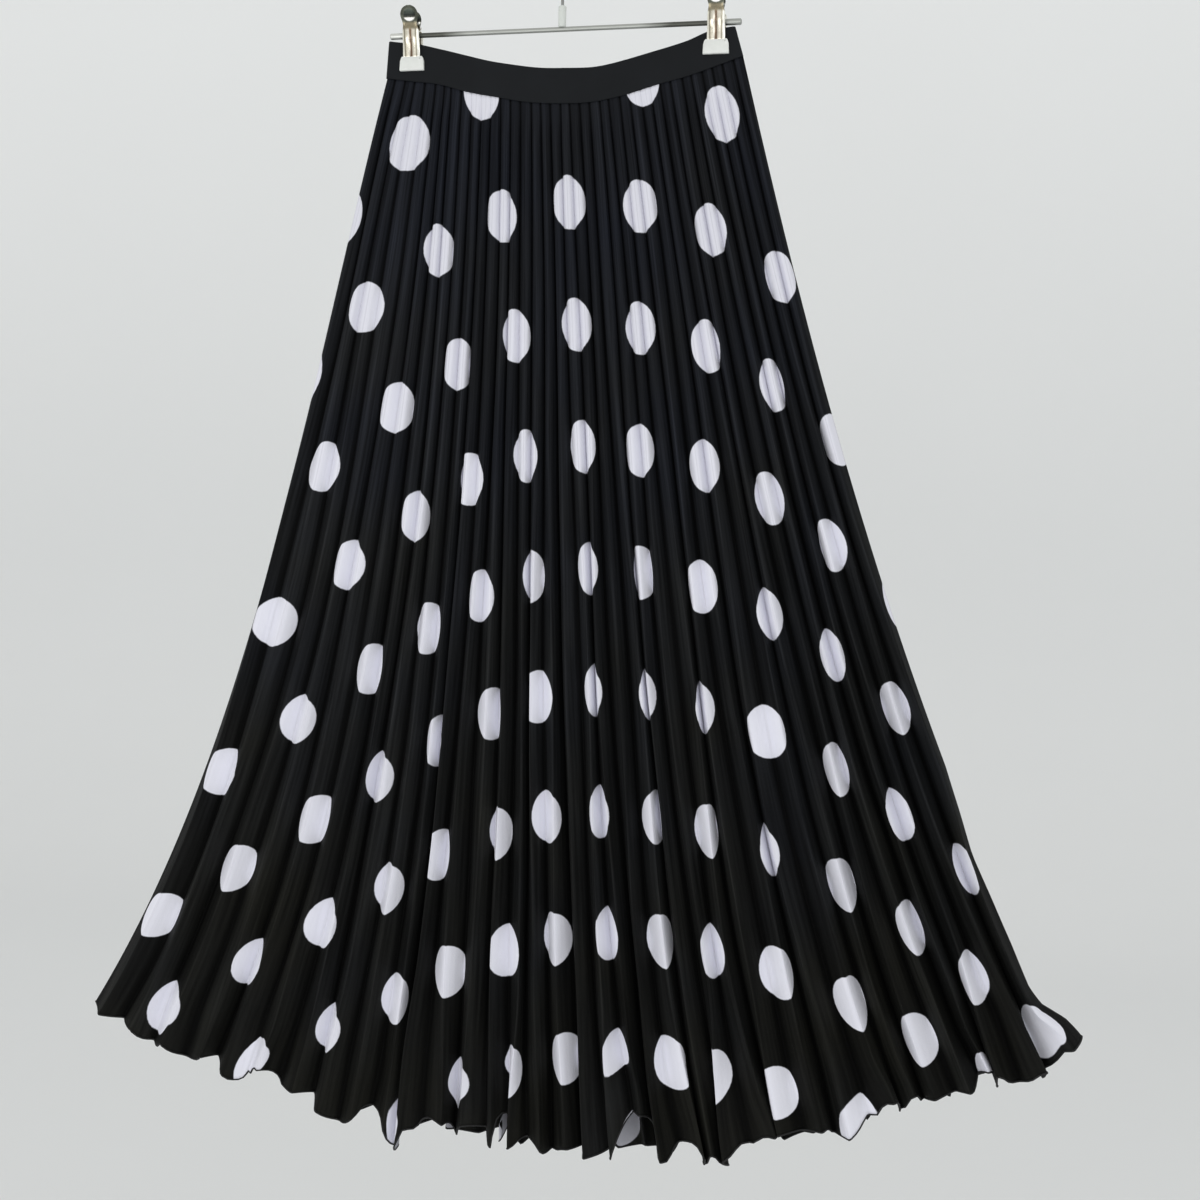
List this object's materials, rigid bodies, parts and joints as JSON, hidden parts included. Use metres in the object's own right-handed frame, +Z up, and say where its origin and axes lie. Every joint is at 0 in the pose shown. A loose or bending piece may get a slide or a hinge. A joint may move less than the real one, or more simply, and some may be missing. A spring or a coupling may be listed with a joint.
{
  "type": "pleated maxi skirt on a clip hanger",
  "caption": "Long A-line skirt in fine sunray pleats with a plain waistband, hung flat by two clips from a straight-bar hanger with a wire hook.",
  "frame": {"origin": "inner top of the hanger's hook, where it hangs on a rail", "axes": "+Z up, +X to the viewer's right when the front is seen, the front of the skirt faces -Y"},
  "size_m": [0.9399, 0.1031, 1.1442],
  "materials": {
    "dotted_crepe": "soft matte pleated crepe, black with large off-white dots",
    "waistband_cloth": "matte firm band, plain black",
    "bar_steel": "satin",
    "collar_plastic": "pale, smooth",
    "chrome": "polished",
    "pad_plastic": "translucent white, satin"
  },
  "bodies": {
    "root": {"front_panel": "dotted_crepe", "back_panel": "dotted_crepe", "waistband_front": "waistband_cloth", "waistband_back": "waistband_cloth", "hanger_bar": "bar_steel", "hook_collar": "collar_plastic", "hook": "chrome", "left_clip_front_jaw": "chrome", "left_clip_back_jaw": "chrome", "left_clip_spring": "chrome", "left_clip_front_pad": "pad_plastic", "left_clip_back_pad": "pad_plastic", "right_clip_front_jaw": "chrome", "right_clip_back_jaw": "chrome", "right_clip_spring": "chrome", "right_clip_front_pad": "pad_plastic", "right_clip_back_pad": "pad_plastic"}
  },
  "joints": []
}
